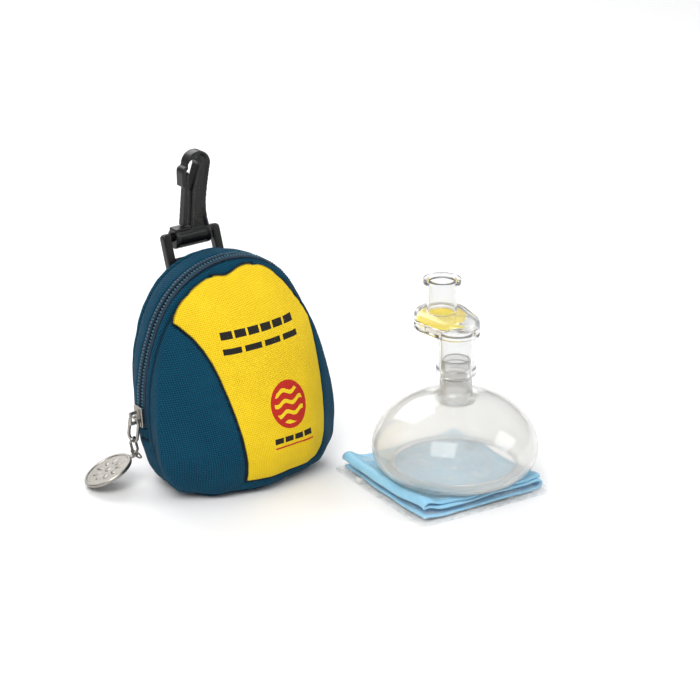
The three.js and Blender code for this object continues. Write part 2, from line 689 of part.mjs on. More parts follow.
const atInlet = (solid) => solid.translate([0, head.offset, 0]);

// The lower half: the skirt that fits over the port, and a tray with the flap's seat and a breathing-out slot.
function valveBase() {
  const { skirtRadius, skirtFoot, footBand, footBandGrowth, floor, split } = valve;
  const bore = port.radius + sew;
  const skirt = turned([
    [bore, skirtFoot], [skirtRadius + footBandGrowth, skirtFoot], [skirtRadius + footBandGrowth,
      skirtFoot + footBand],
    [skirtRadius, skirtFoot + footBand + 0.8], [skirtRadius, floor + 0.5], [bore, floor + 0.5],
  ]);
  const tray = slab(headShape(0), floor, split).subtract(slab(headShape(head.wall), floor + head.wall,
    split + 1));
  const seat = atInlet(tube(9.4, 8.2, floor + head.wall - 0.2, split - flap.thickness));
  const slot = block([-head.inlet - 1, head.offset - 5, floor + head.wall + 0.4],
    [head.wall - head.inlet + 1, head.offset + 5, split - 0.8]);
  const outlet = disc(bore, floor - 1, floor + head.wall + 1);
  const spill = atInlet(disc(3.2, floor - 1, floor + head.wall + 1, 20));
  return mesh("valve_base", skirt.add(tray).add(seat).subtract(outlet).subtract(slot).subtract(spill),
    clearPlastic);
}

// The upper half: the roof of the head and the mouthpiece.
function valveCover() {
  const { split, roof } = valve;
  const { shoulder } = head;
  const rounded = (inset, low, high) => {
    const rings = [[0, low], [0, high - shoulder], [0.25, 0.62], [0.55, 0.86], [1, 1]].map(([share,
      height], i) => {
      const z = i < 2 ? height : high - shoulder * (1 - height);
      return headShape(inset + (i < 2 ? 0 : share * shoulder)).getPoints(14).map(({ x, y }) => [x, y, z]);
    });
    return loft(rings);
  };
  const shell = rounded(0, split + sew, roof).subtract(rounded(head.wall, split, roof - head.wall));
  const lip = mouthpiece.top - mouthpiece.rimHeight;
  const stem = atInlet(turned([
    [mouthpiece.bore, roof - head.wall - 0.4], [mouthpiece.radius, roof - head.wall - 0.4],
      [mouthpiece.radius, lip - 0.6],
    [mouthpiece.rimRadius, lip], [mouthpiece.rimRadius, mouthpiece.top], [mouthpiece.bore, mouthpiece.top],
  ]));
  const bore = atInlet(disc(mouthpiece.bore, roof - 2 * head.wall, roof + 1));
  return mesh("valve_cover", shell.add(stem).subtract(bore), clearPlastic);
}

// The yellow flap: a thin disc with a beaded edge and a low boss, resting on its seat.
function valveFlap() {
  const low = valve.split - flap.thickness + sew;
  const top = low + flap.thickness;
  const rise = low + flap.bead;
  const made = turned([
    [0, low], [flap.radius, low], [flap.radius, rise], [flap.radius - flap.beadWidth, rise],
    [flap.radius - flap.beadWidth, top], [flap.bossRadius, top], [flap.bossRadius - 0.8, top + 0.5], [0,
      top + 0.5],
  ]);
  return mesh("valve_flap", atInlet(made), yellowSilicone);
}

function maskAndValve() {
  const group = new THREE.Group();
  group.position.set(mask.x, mask.y, packet.height + sew);
  const valveTop = new THREE.Group();
  valveTop.rotation.z = packet.turn;
  valveTop.add(valveBase(), valveCover(), valveFlap());
  group.add(maskShell(), maskPort(), valveTop);
  return group;
}

// ---------------------------------------------------------------- the kit
const kit = new THREE.Group();
kit.add(
  pouchBack(),
  pouchFront(),
  zipHalf("zip_half_back", pouch.zipMiddle + zip.middleGap / 2, zipBackEdge - sew / 2),
  zipHalf("zip_half_front", zipFrontEdge + sew / 2, pouch.zipMiddle - zip.middleGap / 2),
  zipSlider(),
  ...zipPull(),
  webbingTab(),
  hookLoop(),
  snapHook(),
  hookGate(),
  glovePacket(),
  maskAndValve(),
);

export default kit;
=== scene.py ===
import math

import bmesh
import bpy
from mathutils import Matrix, Vector, noise
from mathutils.bvhtree import BVHTree


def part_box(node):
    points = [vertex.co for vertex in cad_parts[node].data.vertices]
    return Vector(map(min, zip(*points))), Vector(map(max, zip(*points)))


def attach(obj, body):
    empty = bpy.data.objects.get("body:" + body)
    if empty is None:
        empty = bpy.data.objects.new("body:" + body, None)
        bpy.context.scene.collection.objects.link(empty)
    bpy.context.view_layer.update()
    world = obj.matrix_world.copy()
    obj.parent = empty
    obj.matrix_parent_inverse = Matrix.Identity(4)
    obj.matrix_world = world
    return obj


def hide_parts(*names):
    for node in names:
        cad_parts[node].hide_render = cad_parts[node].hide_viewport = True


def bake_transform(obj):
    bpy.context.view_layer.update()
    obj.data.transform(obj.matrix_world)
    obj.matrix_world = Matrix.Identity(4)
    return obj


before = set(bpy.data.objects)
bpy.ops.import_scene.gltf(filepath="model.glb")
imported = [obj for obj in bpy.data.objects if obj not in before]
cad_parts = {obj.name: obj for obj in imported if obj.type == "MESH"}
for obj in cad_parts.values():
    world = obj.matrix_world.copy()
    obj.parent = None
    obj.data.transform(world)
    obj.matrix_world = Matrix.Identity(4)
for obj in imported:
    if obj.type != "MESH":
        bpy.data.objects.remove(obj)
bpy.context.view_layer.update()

scene = bpy.context.scene


# camera, lights and floor

cameraSetup = {
    "target": (0.069, -0.0237, 0.0561),
    "azimuth": -37.0,
    "pitch": 21.9,
    "distance": 1.3,
    "lens": 125.2,
}


def placeCamera():
    turn, tip = math.radians(cameraSetup["azimuth"]), math.radians(cameraSetup["pitch"])
    away = Vector((math.sin(turn) * math.cos(tip), -math.cos(turn) * math.cos(tip), math.sin(tip)))
    data = bpy.data.cameras.new("studioCamera")
    data.lens = cameraSetup["lens"]
    data.clip_start = 0.05
    camera = bpy.data.objects.new("studioCamera", data)
    scene.collection.objects.link(camera)
    camera.location = Vector(cameraSetup["target"]) + away * cameraSetup["distance"]
    camera.rotation_euler = (-away).to_track_quat("-Z", "Y").to_euler()
    scene.camera = camera


placeCamera()

lightSetup = {
    # name: place, size, power, colour
    "keyLight": ((-0.75, -0.55, 1.15), 0.8, 12.5, (1.0, 0.985, 0.96)),
    "sideLight": ((0.95, -0.75, 0.75), 0.6, 4.5, (0.97, 0.985, 1.0)),
    "rearLight": ((0.25, 0.95, 0.85), 0.9, 7.0, (1.0, 1.0, 1.0)),
}

lampsFace = (0.04, -0.03, 0.05)
worldLook = {
    "strength": 0.74,
    "shades": ((0.02, (0.3, 0.305, 0.31, 1)), (0.6, (1, 1, 1, 1))),  # height and colour, low then high
}


def placeLights():
    for name, (place, size, power, colour) in lightSetup.items():
        data = bpy.data.lights.new(name, "AREA")
        data.size, data.energy, data.color = size, power, colour
        lamp = bpy.data.objects.new(name, data)
        scene.collection.objects.link(lamp)
        lamp.location = place
        facing = Vector(lampsFace) - Vector(place)
        lamp.rotation_euler = facing.to_track_quat("-Z", "Y").to_euler()
    world = bpy.data.worlds.new("paleStudio")
    world.use_nodes = True
    tree = world.node_tree
    back = tree.nodes["Background"]
    ramp = tree.nodes.new("ShaderNodeValToRGB")
    split = tree.nodes.new("ShaderNodeSeparateXYZ")
    tree.links.new(tree.nodes.new("ShaderNodeTexCoord").outputs["Generated"], split.inputs[0])
    tree.links.new(split.outputs[2], ramp.inputs[0])
    tree.links.new(ramp.outputs[0], back.inputs["Color"])
    for stop, (position, shade) in zip(ramp.color_ramp.elements, worldLook["shades"]):
        stop.position, stop.color = position, shade
    back.inputs["Strength"].default_value = worldLook["strength"]
    scene.world = world
    scene.view_settings.view_transform = "Standard"


placeLights()
print("camera and lights placed")


# small helpers for node materials

class NodeBench:
    # one material's node tree, with short calls for the nodes used here
    def __init__(self, name, **sockets):
        self.material = bpy.data.materials.new(name)
        self.material.use_nodes = True
        self.tree = self.material.node_tree
        self.shader = self.tree.nodes["Principled BSDF"]
        for key, value in sockets.items():
            self.put(self.shader.inputs[key.replace("_", " ")], value)

    def put(self, socket, value):
        if isinstance(value, bpy.types.NodeSocket):
            self.tree.links.new(value, socket)
        elif isinstance(value, (tuple, list)) and socket.type == "RGBA" and len(value) == 3:
            socket.default_value = (*value, 1)
        else:
            socket.default_value = value

    def node(self, kind, inputs=None, **settings):
        made = self.tree.nodes.new(kind)
        for key, value in settings.items():
            setattr(made, key, value)
        for key, value in (inputs or {}).items():
            self.put(made.inputs[key], value)
        return made

    def math(self, operation, first, second=0.0):
        return self.node("ShaderNodeMath", {0: first, 1: second}, operation=operation).outputs[0]

    def place(self, uvName=None, scale=(1, 1, 1), turn=0.0):
        if uvName:
            source = self.node("ShaderNodeUVMap", uv_map=uvName).outputs["UV"]
        else:
            source = self.node("ShaderNodeTexCoord").outputs["Object"]
        mapping = self.node("ShaderNodeMapping", {"Vector": source})
        mapping.inputs["Scale"].default_value = scale
        mapping.inputs["Rotation"].default_value = (0, 0, turn)
        return mapping.outputs["Vector"]

    def noise(self, place, scale, detail=3.0, roughness=0.55):
        inputs = {"Vector": place, "Scale": scale, "Detail": detail, "Roughness": roughness}
        return self.node("ShaderNodeTexNoise", inputs).outputs["Fac"]

    def blendColour(self, factor, first, second):
        mix = self.node("ShaderNodeMix", data_type="RGBA")
        self.put(mix.inputs[0], factor)
        self.put(mix.inputs[6], first)
        self.put(mix.inputs[7], second)
        return mix.outputs[2]

    def between(self, value, low, high, toLow=0.0, toHigh=1.0):
        inputs = {"Value": value, "From Min": low, "From Max": high, "To Min": toLow, "To Max": toHigh}
        return self.node("ShaderNodeMapRange", inputs).outputs[0]

    def bump(self, height, strength, distance):
        inputs = {"Height": height, "Strength": strength, "Distance": distance}
        return self.node("ShaderNodeBump", inputs).outputs["Normal"]

    def finish(self, **links):
        for key, value in links.items():
            self.put(self.shader.inputs[key.replace("_", " ")], value)
        return self.material


floorLook = {
    "shades": ((0.92, 0.92, 0.925), (0.9, 0.9, 0.905)),
    "cloud": 3.0,
    "roughness": 0.55,
    "halfWidth": 20.0,
    "under": 0.0001,
}


def makeFloor():
    bench = NodeBench("paleFloor", Roughness=floorLook["roughness"])
    cloud = bench.noise(bench.place(), floorLook["cloud"], 2.0)
    colour = bench.blendColour(cloud, *floorLook["shades"])
    bench.finish(Base_Color=colour)
    bm = bmesh.new()
    bmesh.ops.create_grid(bm, x_segments=2, y_segments=2, size=floorLook["halfWidth"])
    bmesh.ops.translate(bm, verts=bm.verts, vec=(0, 0, -floorLook["under"]))
    mesh = bpy.data.meshes.new("floor")
    bm.to_mesh(mesh)
    bm.free()
    floor = bpy.data.objects.new("floor", mesh)
    scene.collection.objects.link(floor)
    mesh.materials.append(bench.material)


makeFloor()


# finishes

clothLook = {
    "pitch": 0.00135,
    "bluePitch": 0.0015,
    "yarnTurn": 38,
    "fibre": 2600,
    "fade": 55,
    "fadeShare": 0.4,
    "rough": (0.85, 0.68),  # between the yarns, on top of them
    "relief": (0.9, 0.00035),  # bump strength and height
    # painted shadow: the blue cloth is darkened in the groove along each seam
    "grooveShadow": (0.0002, 0.0012),
    "grooveShadowTone": 0.35,
    "grooveShadowShare": 0.8,
    "blue": ((0.0, 0.021, 0.048), (0.0008, 0.064, 0.118)),
    "yellow": ((0.72, 0.45, 0.007), (0.9, 0.655, 0.022)),
    # the yellow panel's seams get a dark line: partly dark stitching, partly painted shadow of the seam
    "seamThreadAndShadow": (0.012, 0.014, 0.016),
    "edgeWidth": 0.0013,
}


def weave(bench, uvName, pitch):
    # crossed yarns on the bias: one direction rises where the other dips
    place = bench.place(uvName, (math.tau / pitch, math.tau / pitch, 1),
                        math.radians(clothLook["yarnTurn"]))
    split = bench.node("ShaderNodeSeparateXYZ", {0: place})
    warp = bench.math("SINE", split.outputs[0])
    weft = bench.math("SINE", split.outputs[1])
    crossing = bench.math("MULTIPLY", warp, weft)
    return bench.between(crossing, -1.0, 1.0)


def nearSeam(bench, low, high):
    gap = bench.node("ShaderNodeAttribute", attribute_name="seamGap").outputs["Fac"]
    return bench.between(gap, low, high, 1.0, 0.0)


def clothMaterial(name, shades, pitch=None, threadAndShadowEdge=False, printed=False):
    bench = NodeBench(name, Roughness=0.8, Sheen_Weight=0.02, Specular_IOR_Level=0.12)
    yarn = weave(bench, "cloth", pitch or clothLook["bluePitch"])
    flat = bench.place("cloth")
    fibre = bench.noise(flat, clothLook["fibre"], 2.0)
    fade = bench.noise(flat, clothLook["fade"], 4.0)
    colour = bench.blendColour(bench.between(yarn, 0.15, 0.75), shades[0], shades[1])
    faded = tuple(min(1.0, c * 1.1 + 0.002) for c in shades[1])
    colour = bench.blendColour(
        bench.between(fade, 0.45, 0.8, 0.0, clothLook["fadeShare"]), colour, faded)
    if printed:
        colour = addPrint(bench, colour)
    if threadAndShadowEdge:
        # a dark line at the seam, partly dark stitching and partly painted seam shadow
        edge = nearSeam(bench, clothLook["edgeWidth"] * 0.7, clothLook["edgeWidth"] * 1.25)
        colour = bench.blendColour(edge, colour, clothLook["seamThreadAndShadow"])
    else:
        # painted shadow darkens the cloth in the groove along its seams
        grooveShadow = bench.math("MULTIPLY", nearSeam(bench, *clothLook["grooveShadow"]), clothLook["grooveShadowShare"])
        shade = tuple(c * clothLook["grooveShadowTone"] for c in shades[0])
        colour = bench.blendColour(grooveShadow, colour, shade)
    height = bench.math("ADD", yarn, bench.math("MULTIPLY", fibre, 0.5))
    rough = bench.between(yarn, 0.0, 1.0, *clothLook["rough"])
    relief = bench.bump(height, *clothLook["relief"])
    return bench.finish(Base_Color=colour, Roughness=rough, Normal=relief)


printLook = {
    "ink": (0.02, 0.018, 0.015),
    "badge": (0.52, 0.028, 0.018),
    # middle x, middle z, half width, half height of each row of bars, and its bar pitch
    "rows": [
        (0.0055, 0.0862, 0.0235, 0.0019, 0.0079),
        (0.0062, 0.0785, 0.0245, 0.0015, 0.0123),
        (0.0138, 0.0295, 0.0125, 0.0015, 0.0063),
    ],
    "barShare": 0.84,
    "badgePlace": (0.0138, 0.0462),
    "badgeRadius": 0.0118,
    "wavyShare": 0.8,  # of the disc's radius
    "stripePitch": 0.0052,
    "stripeEdge": 0.35,
    "wave": (620, 0.0009),  # radians for each metre, and height
    "underline": (0.0258, 0.00045, 0.0125),  # z, half height, half width
}


def within(bench, value, middle, reach):
    # 1 where the value is less than reach from the middle, and 0 elsewhere
    gap = bench.math("ABSOLUTE", bench.math("SUBTRACT", value, middle))
    return bench.math("LESS_THAN", gap, reach)


def addPrint(bench, colour):
    # plain bars and a disc with plain waves
    split = bench.node("ShaderNodeSeparateXYZ", {0: bench.place("cloth")})
    across, up = split.outputs[0], split.outputs[1]
    for x, z, halfWidth, halfHeight, pitch in printLook["rows"]:
        row = bench.math(
            "MULTIPLY", within(bench, across, x, halfWidth), within(bench, up, z, halfHeight))
        start = bench.math("SUBTRACT", across, x - halfWidth)
        step = bench.math("FRACT", bench.math("DIVIDE", start, pitch))
        bars = bench.math("MULTIPLY", row, bench.math("LESS_THAN", step, printLook["barShare"]))
        colour = bench.blendColour(bars, colour, printLook["ink"])
    dx = bench.math("SUBTRACT", across, printLook["badgePlace"][0])
    dz = bench.math("SUBTRACT", up, printLook["badgePlace"][1])
    squares = bench.math("ADD", bench.math("MULTIPLY", dx, dx), bench.math("MULTIPLY", dz, dz))
    ring = bench.math("SQRT", squares)
    radius = printLook["badgeRadius"]
    disc = bench.math("LESS_THAN", ring, radius)
    colour = bench.blendColour(disc, colour, printLook["badge"])
    turns, height = printLook["wave"]
    wave = bench.math("MULTIPLY", bench.math("SINE", bench.math("MULTIPLY", dx, turns)), height)
    stripes = math.tau / printLook["stripePitch"]
    stripe = bench.math("SINE", bench.math("MULTIPLY", bench.math("ADD", dz, wave), stripes))
    inside = bench.math("LESS_THAN", ring, radius * printLook["wavyShare"])
    onStripe = bench.math("GREATER_THAN", stripe, printLook["stripeEdge"])
    wavy = bench.math("MULTIPLY", onStripe, inside)
    colour = bench.blendColour(wavy, colour, clothLook["yellow"][1])
    lineHeight, halfHeight, halfWidth = printLook["underline"]
    underline = bench.math(
        "MULTIPLY", within(bench, up, lineHeight, halfHeight), within(bench, dx, 0.0, halfWidth))
    return bench.blendColour(underline, colour, printLook["badge"])


# shades are a dark and a light colour; relief is a bump's strength and height

tapeFinish = {
    "pitch": 0.0007,
    "shades": ((0.003, 0.012, 0.028), (0.006, 0.03, 0.06)),
    "relief": (0.5, 0.0002),
}


def zipMaterial():
    bench = NodeBench("zipTapeCloth", Roughness=0.7)
    yarn = weave(bench, "cloth", tapeFinish["pitch"])
    colour = bench.blendColour(yarn, *tapeFinish["shades"])
    return bench.finish(Base_Color=colour, Normal=bench.bump(yarn, *tapeFinish["relief"]))


coilFinish = {"grain": 900, "shades": ((0.006, 0.05, 0.095), (0.02, 0.13, 0.2)), "relief": (0.2, 0.0001)}


def coilMaterial():
    bench = NodeBench("zipCoilNylon", Roughness=0.38)
    grain = bench.noise(bench.place(), coilFinish["grain"], 2.0)
    colour = bench.blendColour(grain, *coilFinish["shades"])
    return bench.finish(Base_Color=colour, Normal=bench.bump(grain, *coilFinish["relief"]))


webbingFinish = {
    "ribPitch": 0.0016,
    "pickPitch": 0.0008,
    "shades": ((0.002, 0.0022, 0.003), (0.013, 0.014, 0.017)),
    "relief": (0.6, 0.0003),
}


def webbingMaterial():
    bench = NodeBench("wovenWebbing", Roughness=0.8, Sheen_Weight=0.03, Specular_IOR_Level=0.2)
    split = bench.node("ShaderNodeSeparateXYZ", {0: bench.place()})
    ribs, picks = math.tau / webbingFinish["ribPitch"], math.tau / webbingFinish["pickPitch"]
    rib = bench.math("SINE", bench.math("MULTIPLY", split.outputs[0], ribs))
    pick = bench.math("SINE", bench.math("MULTIPLY", split.outputs[2], picks))
    yarn = bench.between(bench.math("MULTIPLY", rib, pick), -1, 1)
    colour = bench.blendColour(yarn, *webbingFinish["shades"])
    return bench.finish(Base_Color=colour, Normal=bench.bump(yarn, *webbingFinish["relief"]))


nylonFinish = {
    "grain": 1500,
    "patch": 90,
    "shades": ((0.0028, 0.0028, 0.003), (0.006, 0.006, 0.0065)),
    "rough": (0.24, 0.38),
    "relief": (0.12, 0.00008),
}


def nylonMaterial():
    bench = NodeBench("mouldedNylon", Roughness=0.36, Specular_IOR_Level=0.4)
    place = bench.place()
    grain = bench.noise(place, nylonFinish["grain"], 3.0)
    patch = bench.noise(place, nylonFinish["patch"], 3.0)
    colour = bench.blendColour(patch, *nylonFinish["shades"])
    rough = bench.between(patch, 0.3, 0.7, *nylonFinish["rough"])
    relief = bench.bump(grain, *nylonFinish["relief"])
    return bench.finish(Base_Color=colour, Roughness=rough, Normal=relief)


nickelFinish = {
    "tarnish": 220,
    "scratch": 700,
    "scratchStretch": (1, 6, 1),
    "scratchTurn": 0.4,
    "shades": ((0.24, 0.225, 0.2), (0.46, 0.44, 0.405)),
    "rough": (0.24, 0.42),
    "relief": (0.12, 0.00006),
}


def nickelMaterial():
    bench = NodeBench("dullNickel", Metallic=1.0)
    tarnish = bench.noise(bench.place(), nickelFinish["tarnish"], 5.0, 0.65)
    drawn = bench.place(None, nickelFinish["scratchStretch"], nickelFinish["scratchTurn"])
    scratch = bench.noise(drawn, nickelFinish["scratch"], 3.0)
    colour = bench.blendColour(tarnish, *nickelFinish["shades"])
    rough = bench.between(bench.math("ADD", tarnish, scratch), 0.7, 1.3, *nickelFinish["rough"])
    relief = bench.bump(scratch, *nickelFinish["relief"])
    return bench.finish(Base_Color=colour, Roughness=rough, Normal=relief)


clearFinish = {"flow": 60, "fine": 420, "flowShade": 0.985, "relief": (0.05, 0.0003)}


def clearMaterial(name, tint, transmission, roughLow, roughHigh, ior):
    bench = NodeBench(name, Transmission_Weight=transmission, IOR=ior)
    place = bench.place()
    flow = bench.noise(place, clearFinish["flow"], 3.0)
    fine = bench.noise(place, clearFinish["fine"], 3.0)
    colour = bench.blendColour(flow, tint, tuple(c * clearFinish["flowShade"] for c in tint))
    rough = bench.between(fine, 0.3, 0.7, roughLow, roughHigh)
    relief = bench.bump(flow, *clearFinish["relief"])
    return bench.finish(Base_Color=colour, Roughness=rough, Normal=relief)


siliconeFinish = {
    "fine": 300,
    "shades": ((0.95, 0.72, 0.01), (1.0, 0.82, 0.03)),
    "glow": (1.0, 0.78, 0.01, 1),  # keeps the yellow clear through the valve's head
    "glowStrength": 0.35,
    "depth": (0.002, 0.0015, 0.0005),
    "relief": (0.1, 0.0001),
}


def siliconeMaterial():
    bench = NodeBench("yellowSilicone", Roughness=0.35, Subsurface_Weight=0.3,
                      Emission_Strength=siliconeFinish["glowStrength"])
    bench.shader.inputs["Emission Color"].default_value = siliconeFinish["glow"]
    bench.shader.inputs["Subsurface Radius"].default_value = siliconeFinish["depth"]
    fine = bench.noise(bench.place(), siliconeFinish["fine"], 3.0)
    colour = bench.blendColour(fine, *siliconeFinish["shades"])
    return bench.finish(Base_Color=colour, Normal=bench.bump(fine, *siliconeFinish["relief"]))


gloveFinish = {
    "fold": 120,
    "pore": 1800,
    "poreShare": 0.15,
    # the dark shade is the rubber's own blue; the light shade on the raised folds is a painted highlight
    "shades": ((0.2, 0.5, 0.74), (0.42, 0.72, 0.9)),
    "relief": (0.5, 0.0006),
}


def gloveMaterial():
    bench = NodeBench("gloveRubber", Roughness=0.5, Subsurface_Weight=0.1)
    place = bench.place()
    fold = bench.noise(place, gloveFinish["fold"], 4.0, 0.6)
    pore = bench.noise(place, gloveFinish["pore"], 2.0)
    # painted highlight: lighter towards the raised folds, the rubber's own blue in between
    colour = bench.blendColour(fold, *gloveFinish["shades"])
    height = bench.math("ADD", fold, bench.math("MULTIPLY", pore, gloveFinish["poreShare"]))
    return bench.finish(Base_Color=colour, Normal=bench.bump(height, *gloveFinish["relief"]))


filmFinish = {
    "crinkle": 170,
    # painted highlights: the crinkles' crests are whiter and less clear; the lowest alpha is the film's
    # own faint look
    "shades": ((0.88, 0.92, 0.95), (1, 1, 1)),
    "filmAndHighlightAlpha": (0.06, 0.26),
    "relief": (0.5, 0.0010),
}


def filmMaterial():
    bench = NodeBench("clearFilm", Roughness=0.07, Alpha=0.2, Specular_IOR_Level=1.0)
    crinkle = bench.noise(bench.place(), filmFinish["crinkle"], 4.0, 0.6)
    # painted highlights: the film turns whiter and less clear where the crinkle noise is high
    colour = bench.blendColour(crinkle, *filmFinish["shades"])
    filmAndHighlightAlpha = bench.between(crinkle, 0.5, 0.7, *filmFinish["filmAndHighlightAlpha"])
    relief = bench.bump(crinkle, *filmFinish["relief"])
    return bench.finish(Base_Color=colour, Alpha=filmAndHighlightAlpha, Normal=relief)


finishes = {
    "blue_cloth": clothMaterial("bluePackCloth", clothLook["blue"]),
    "yellow_cloth": clothMaterial(
        "yellowPackCloth", clothLook["yellow"], clothLook["pitch"], threadAndShadowEdge=True, printed=True),
    "zip_tape": zipMaterial(),
    "zip_coil": coilMaterial(),
    "webbing": webbingMaterial(),
    "nylon": nylonMaterial(),
    "nickel": nickelMaterial(),
    # tint, transmission, roughness low and high, refraction
    "clear_plastic": clearMaterial("clearPlastic", (0.925, 0.93, 0.932), 0.94, 0.03, 0.08, 1.46),
    "frosted_rubber": clearMaterial("milkyRubber", (0.994, 0.988, 0.968), 0.79, 0.08, 0.12, 1.36),
    "port_plastic": clearMaterial("milkyPlastic", (0.985, 0.98, 0.965), 0.82, 0.08, 0.13, 1.4),
    "silicone": siliconeMaterial(),
    "glove_rubber": gloveMaterial(),
    "film": filmMaterial(),
}
print("finishes mixed")


# making pieces

def settle(bm, name, finish):
    mesh = bpy.data.meshes.new(name)
    bm.to_mesh(mesh)
    bm.free()
    for face in mesh.polygons:
        face.use_smooth = True
    piece = bpy.data.objects.new(name, mesh)
    scene.collection.objects.link(piece)
    mesh.materials.append(finishes[finish])
    return piece


joinLook = {"merge": 1e-6, "within": 0.00012, "lift": 0.0006}


def copiedNodes(names, joinAt=None):
    # the CAD solids as one merged mesh
    # the edge at height joinAt is lifted, so that the solids below and above it meet
    bm = bmesh.new()
    for name in names:
        bm.from_mesh(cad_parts[name].data)
    bmesh.ops.remove_doubles(bm, verts=bm.verts, dist=joinLook["merge"])
    if joinAt is not None:
        for v in bm.verts:
            if abs(v.co.z - joinAt) < joinLook["within"]:
                v.co.z += joinLook["lift"]
    return bm


def remeshed(bm, voxel):
    holder = bpy.data.meshes.new("voxelHolder")
    bm.to_mesh(holder)
    bm.free()
    body = bpy.data.objects.new("voxelHolder", holder)
    scene.collection.objects.link(body)
    change = body.modifiers.new("voxels", "REMESH")
    change.mode, change.voxel_size = "VOXEL", voxel
    graph = bpy.context.evaluated_depsgraph_get()
    made = bpy.data.meshes.new_from_object(body.evaluated_get(graph))
    bpy.data.objects.remove(body)
    bpy.data.meshes.remove(holder)
    result = bmesh.new()
    result.from_mesh(made)
    bpy.data.meshes.remove(made)
    return result


lightEase = 0.3  # the last smoothing, once a piece has its details


def relax(bm, times, factor=0.5):
    for _ in range(times):
        bmesh.ops.smooth_vert(
            bm, verts=bm.verts, factor=factor, use_axis_x=True, use_axis_y=True, use_axis_z=True
        )
    bm.normal_update()


def treeOf(names):
    bm = bmesh.new()
    for name in names:
        bm.from_mesh(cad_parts[name].data)
    tree = BVHTree.FromBMesh(bm)
    bm.free()
    return tree


clothShape = {
    "voxel": 0.0009,
    "seamDepth": 0.0009,
    "seamReach": 0.002,
    "grow": 0.00028,
    "puff": 0.0011,
    "puffReach": 0.011,
    "wrinkle": 0.00035,
    "heart": (0.0, -0.012, 0.055),  # a place inside the pouch, which tells out from in
    "fold": (70, 70, 38),  # how tightly the wrinkles lie across, through and up
    "fine": 160,
    "fineShare": 0.35,
    "low": 0.04,  # below this height the cloth slumps more
    "lowFold": (34, 34, 95),
    "lowShare": 0.9,
    "lowGain": 1.6,
    "offFloor": 0.0003,
    "facing": 0.68,
}


def layOut(bm, flatten):
    # lays the cloth flat in its own map, in metres
    layer = bm.loops.layers.uv.new("cloth")
    for face in bm.faces:
        for loop in face.loops:
            loop[layer].uv = flatten(loop.vert.co, face.normal)


def frontFlat(place, normal):
    return place.x, place.z


def wrapFlat(place, normal):
    # each part of the cloth is laid flat along the side that it faces
    if abs(normal.x) > clothShape["facing"]:
        return place.y, place.z
    if abs(normal.z) > clothShape["facing"]:
        return place.x, place.y
    return place.x, place.z


sideSeam = {"y": -0.0150, "low": 0.012, "close": 0.00022}


def sideSeamGap(place):
    # how far a point is from the sewn line that runs up the side, over the top and down again
    if place.z < sideSeam["low"]:
        return sideSeam["low"] - place.z + abs(place.y - sideSeam["y"])
    return abs(place.y - sideSeam["y"])


hem = {
    "reach": 0.0052,
    "width": 0.008,
    "back": 0.36,
    "proud": 0.0009,
    "from": 0.086,  # the height where the hem starts, and how far up it takes to reach full width
    "over": 0.012,
    "middle": 0.06,
    "dip": 0.75,
    "dipAt": -0.003,
    "dipWidth": 0.0068,
    "leftShare": 0.85,
    "fallFrom": 0.015,
    "fallWidth": 0.024,
}


def eased(value):
    # 0 to 1 with a soft start and end
    return value * value * (3 - 2 * value)


def shareAlong(value, start, width):
    # 0 up to start, then rising evenly to 1 over the width
    return min(1.0, max(0.0, (value - start) / width))


def turnedOver(place, bandTree):
    # how far the hemmed top of the yellow panel reaches out over the blue band
    gap = bandTree.find_nearest(place)[3]
    rise = shareAlong(place.z, hem["from"], hem["over"])
    share = rise * math.exp(-((gap / hem["width"]) ** 2))
    around = Vector((place.x, 0, place.z - hem["middle"])).normalized()
    lobe = 1 - hem["dip"] * math.exp(-(((place.x - hem["dipAt"]) / hem["dipWidth"]) ** 2))
    if place.x < hem["dipAt"]:
        lobe *= hem["leftShare"]
    lobe *= 1 - eased(shareAlong(place.x, hem["fallFrom"], hem["fallWidth"]))
    lift = Vector((0, hem["back"] * hem["reach"] - hem["proud"], 0))
    return (around * hem["reach"] + lift) * share * lobe


def clothPiece(name, nodes, sewnTo, finish, flatten, joinAt=None, sideLine=False, hemmed=False, **shape):
    look = {**clothShape, **shape}
    solid = copiedNodes(nodes, joinAt)
    if sideLine:
        solid.normal_update()
        for v, move in [(v, v.normal * sideSeam["close"]) for v in solid.verts]:
            v.co += move
    bm = remeshed(solid, look["voxel"])
    relax(bm, 3)
    seam = treeOf(sewnTo)
    band = treeOf(["front_side_band"])
    heart = Vector(look["heart"])
    foldX, foldY, foldZ = look["fold"]
    lowX, lowY, lowZ = look["lowFold"]
    gapLayer = bm.verts.layers.float.new("seamGap")
    moves = []
    for v in bm.verts:
        gap = seam.find_nearest(v.co)[3]
        if sideLine:
            gap = min(gap, sideSeamGap(v.co))
        out = v.normal if v.normal.dot(v.co - heart) > 0 else -v.normal
        dip = look["seamDepth"] * math.exp(-((gap / look["seamReach"]) ** 2))
        rise = look["puff"] * (1 - math.exp(-((gap / look["puffReach"]) ** 2)))
        fold = noise.noise(Vector((v.co.x * foldX, v.co.y * foldY, v.co.z * foldZ)))
        fine = noise.noise(v.co * look["fine"])
        low = max(0.0, 1 - v.co.z / look["low"])
        slump = noise.noise(Vector((v.co.x * lowX, v.co.y * lowY, v.co.z * lowZ)))
        fold += look["lowShare"] * low * slump
        wave = look["wrinkle"] * (fold * (1 + look["lowGain"] * low) + look["fineShare"] * fine)
        v[gapLayer] = gap
        turned = turnedOver(v.co, band) if hemmed else Vector()
        moves.append(out * (rise - dip + wave) + v.normal * look["grow"] + turned)
    for v, move in zip(bm.verts, moves):
        v.co += move
        v.co.z = max(v.co.z, look["offFloor"])
    relax(bm, 1, lightEase)
    layOut(bm, flatten)
    piece = settle(bm, name, finish)
    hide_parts(*nodes)
    print(name, len(piece.data.polygons), "faces")
    return piece


